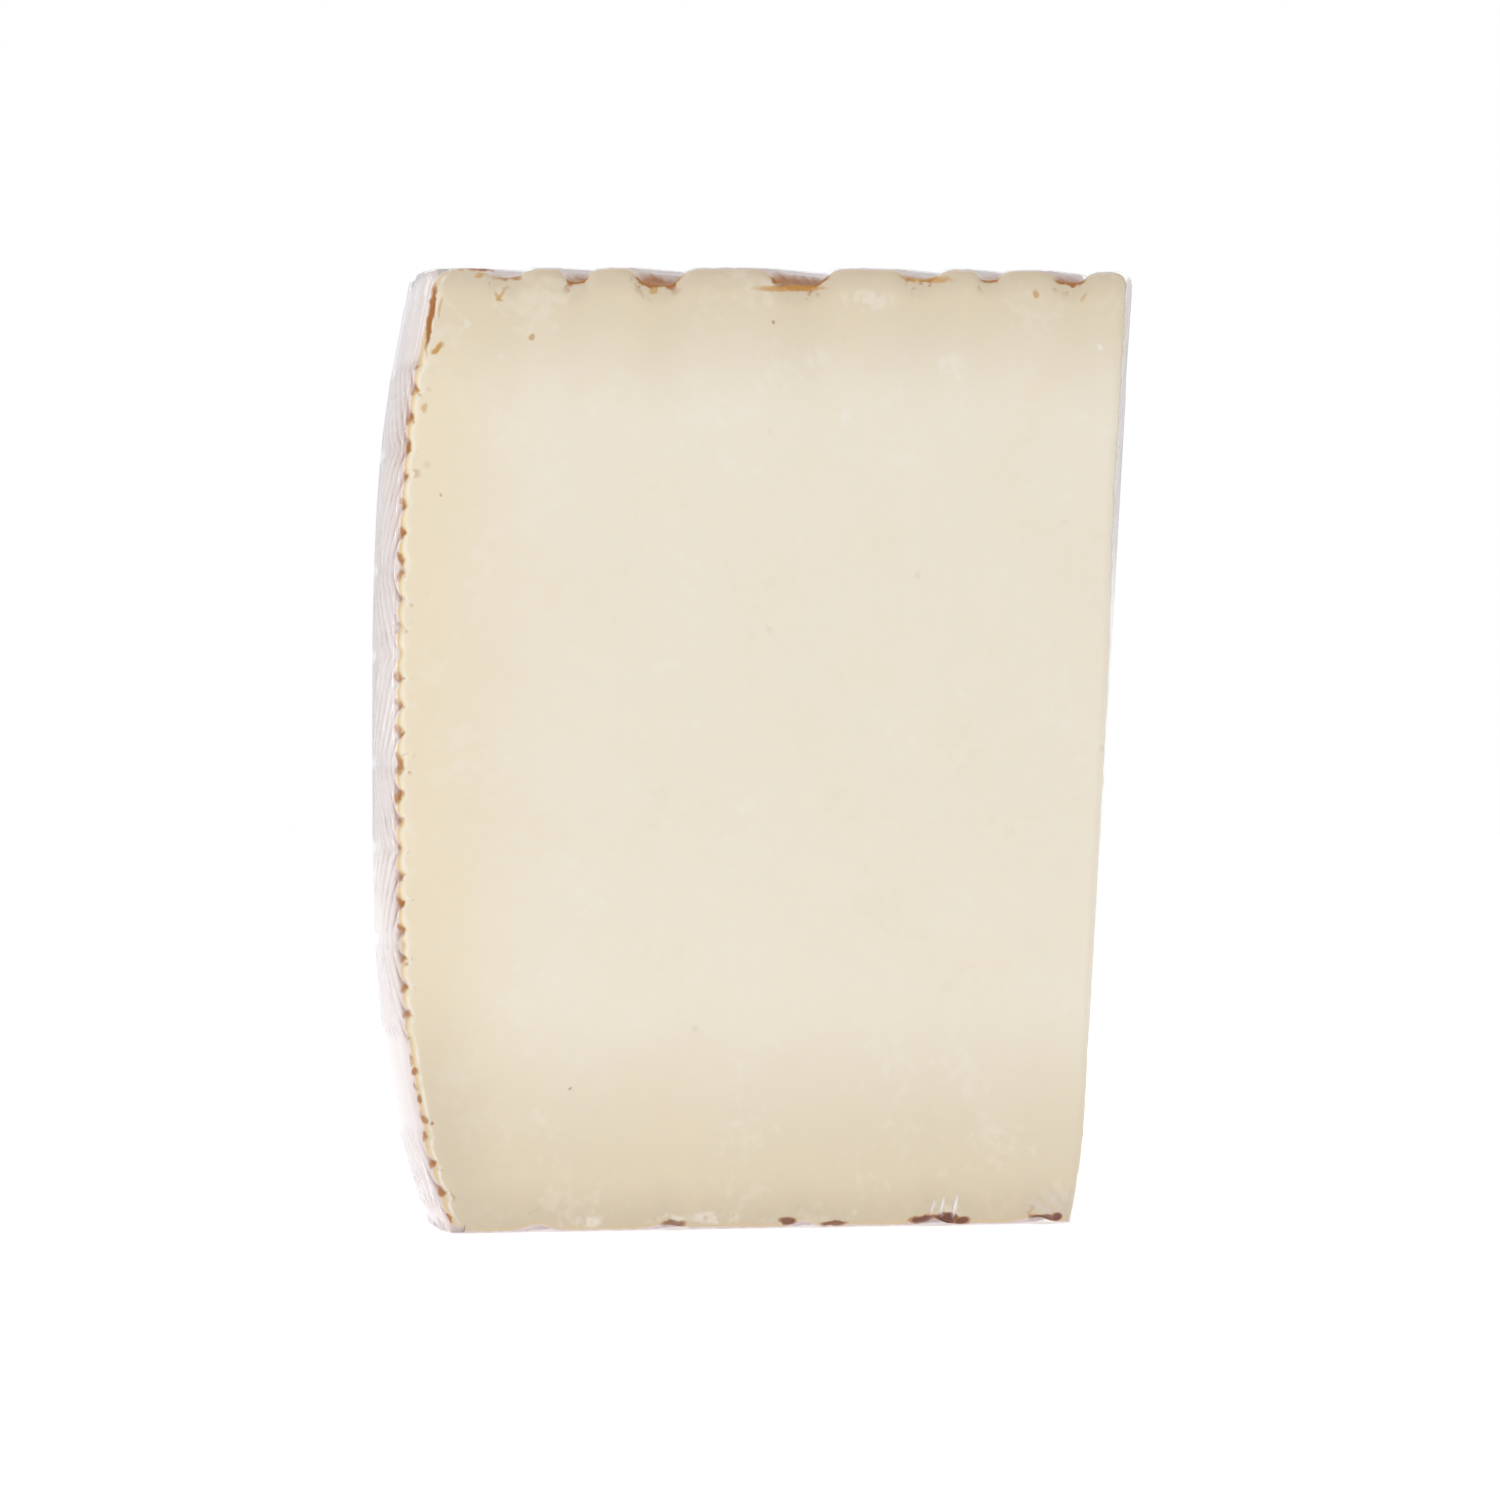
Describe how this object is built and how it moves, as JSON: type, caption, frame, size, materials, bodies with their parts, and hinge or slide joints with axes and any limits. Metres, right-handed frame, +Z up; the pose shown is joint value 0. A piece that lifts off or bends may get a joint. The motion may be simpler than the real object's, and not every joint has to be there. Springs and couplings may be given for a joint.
{
  "type": "cheese wedge",
  "caption": "Tall wedge of pressed cheese with a plaited rind, tightly wrapped in clear film, standing on its flat base.",
  "frame": {"origin": "middle of the footprint's bounding box, on the surface that the wedge stands on", "axes": "+Z up along the wheel's axis; +X along the front cut, towards the tip; +Y away from the front cut, towards the back corner of the rind"},
  "size_m": [0.0946, 0.071, 0.12],
  "materials": {
    "cheese": "ivory pressed cheese under tight clear film"
  },
  "bodies": {
    "root": {"cheese_wedge": "cheese"}
  },
  "joints": []
}
